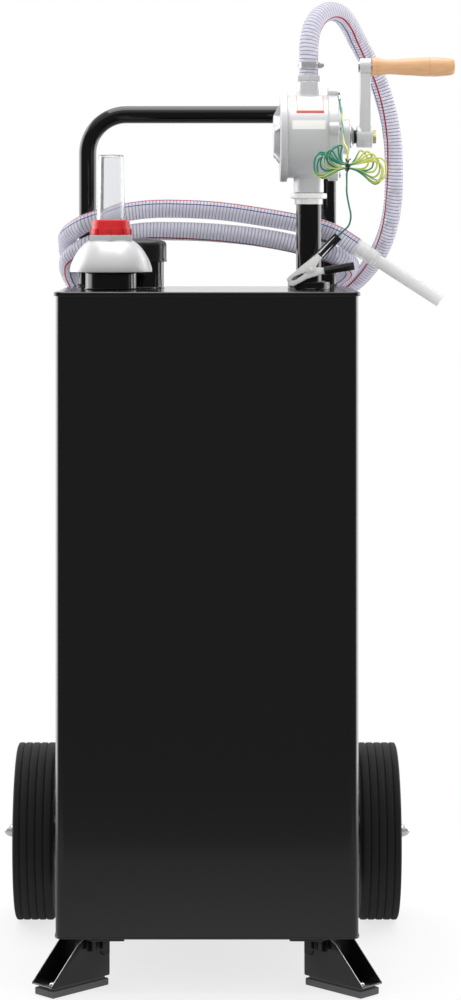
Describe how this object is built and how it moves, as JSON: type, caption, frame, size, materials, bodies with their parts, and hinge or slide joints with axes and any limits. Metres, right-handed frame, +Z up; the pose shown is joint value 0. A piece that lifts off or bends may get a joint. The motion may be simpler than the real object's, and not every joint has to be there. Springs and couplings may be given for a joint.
{
  "type": "fuel caddy",
  "caption": "Tall two-wheeled steel fuel tank with push handle, hand-cranked pump, clear ribbed hose with nozzle, float gauge, filler cap and clipped ground wire.",
  "frame": {"origin": "under the middle of the whole object without its hose and wire, on the ground", "axes": "+X to the right and +Y to the back as one faces the tank's front, +Z up"},
  "size_m": [0.6396, 0.5694, 1.3243],
  "materials": {
    "tank_paint": "semi-gloss black powder coat",
    "gloss_black": "gloss black enamel",
    "silver_paint": "gloss silver-grey casting",
    "red_plastic": "moulded red plastic",
    "clear_vial": "clear moulded plastic",
    "cast_aluminium": "satin sand-cast and machined",
    "zinc_steel": "zinc-plated",
    "chrome": "bright chrome plate",
    "brass": "turned brass",
    "beech": "varnished turned beech",
    "black_rubber": "matte black rubber",
    "tyre_rubber": "ribbed black rubber",
    "rim_steel": "silver painted pressed steel",
    "clear_hose": "clear ribbed PVC",
    "nozzle_plastic": "translucent white plastic",
    "wire_jacket": "green and yellow jacket",
    "black_plastic": "moulded black plastic",
    "cork_rubber": "pressed cork rubber"
  },
  "bodies": {
    "caddy": {"tank_shell": "tank_paint", "tank_top": "tank_paint", "tank_base": "tank_paint", "push_handle": "tank_paint", "suction_collar": "tank_paint", "axle_bracket_left": "tank_paint", "axle_bracket_right": "tank_paint", "foot_left": "tank_paint", "foot_right": "tank_paint", "gauge_neck": "gloss_black", "filler_neck": "gloss_black", "suction_pipe": "gloss_black", "gauge_dome": "silver_paint", "gauge_nut": "red_plastic", "gauge_vial": "clear_vial", "pump_body": "cast_aluminium", "pump_end_plate": "cast_aluminium", "pump_cover": "cast_aluminium", "gauge_stem": "zinc_steel", "suction_strainer": "zinc_steel", "hose_clamp": "zinc_steel", "axle": "zinc_steel", "suction_union": "chrome", "axle_cap_left": "chrome", "axle_cap_right": "chrome", "ring_terminal": "chrome", "clip_jaw_lower": "chrome", "clip_pin": "chrome", "hose_tail": "brass", "foot_pad_left": "black_rubber", "foot_pad_right": "black_rubber", "clip_sleeve_lower": "black_rubber", "discharge_hose": "clear_hose", "nozzle_connector": "nozzle_plastic", "nozzle_tube": "nozzle_plastic", "ground_wire_lead": "wire_jacket", "ground_wire_hank": "wire_jacket", "ground_wire_drop": "wire_jacket", "packing_gland": "black_plastic"},
    "crank": {"pump_shaft": "zinc_steel", "pump_rotor": "zinc_steel", "vane_1": "black_plastic", "vane_2": "black_plastic", "vane_3": "black_plastic", "crank_arm": "cast_aluminium", "crank_nut": "brass", "grip_pin": "zinc_steel"},
    "grip": {"crank_grip": "beech"},
    "wheel_left": {"tyre_left": "tyre_rubber", "hub_left": "rim_steel"},
    "wheel_right": {"tyre_right": "tyre_rubber", "hub_right": "rim_steel"},
    "cap_seal": {"filler_gasket": "cork_rubber"},
    "cap": {"filler_cap": "black_plastic"},
    "float": {"float_arm": "zinc_steel", "gauge_float": "black_rubber"},
    "indicator": {"gauge_rod": "red_plastic"},
    "clip_upper": {"clip_jaw_upper": "chrome", "clip_sleeve_upper": "black_rubber"}
  },
  "joints": [
    {"name": "crank_turn", "type": "hinge", "parent": "caddy", "child": "crank", "pos_m": [0.1765, -0.0543, 1.134], "axis": [1, 0, 0], "continuous": true},
    {"name": "grip_spin", "type": "hinge", "parent": "crank", "child": "grip", "pos_m": [0.2565, -0.0543, 1.231], "axis": [1, 0, 0], "continuous": true},
    {"name": "wheel_left_spin", "type": "hinge", "parent": "caddy", "child": "wheel_left", "pos_m": [-0.271, 0.1577, 0.127], "axis": [1, 0, 0], "continuous": true},
    {"name": "wheel_right_spin", "type": "hinge", "parent": "caddy", "child": "wheel_right", "pos_m": [0.224, 0.1577, 0.127], "axis": [1, 0, 0], "continuous": true},
    {"name": "cap_lift", "type": "slide", "parent": "caddy", "child": "cap_seal", "axis": [0, 0, 1], "range_m": [0, 0.024]},
    {"name": "cap_turn", "type": "hinge", "parent": "cap_seal", "child": "cap", "pos_m": [-0.112, 0.0007, 0.975], "axis": [0, 0, 1], "range_deg": [0, 1440]},
    {"name": "float_swing", "type": "hinge", "parent": "caddy", "child": "float", "pos_m": [-0.151, -0.1313, 0.503], "axis": [1, 0, 0], "range_deg": [0, 95]},
    {"name": "rod_rise", "type": "slide", "parent": "caddy", "child": "indicator", "axis": [0, 0, 1], "range_m": [0, 0.075]},
    {"name": "clip_squeeze", "type": "hinge", "parent": "caddy", "child": "clip_upper", "pos_m": [0.1195, -0.0823, 0.9502], "axis": [0, 1, 0], "range_deg": [0, 24], "stiffness_Nm_per_rad": 0.3, "deforming": ["ground_wire_drop"]}
  ],
  "couplings": [
    {"joint": "cap_lift", "follows": "cap_turn", "m_per_rad": 0.00095},
    {"joint": "rod_rise", "follows": "float_swing", "m_per_rad": 0.045}
  ]
}
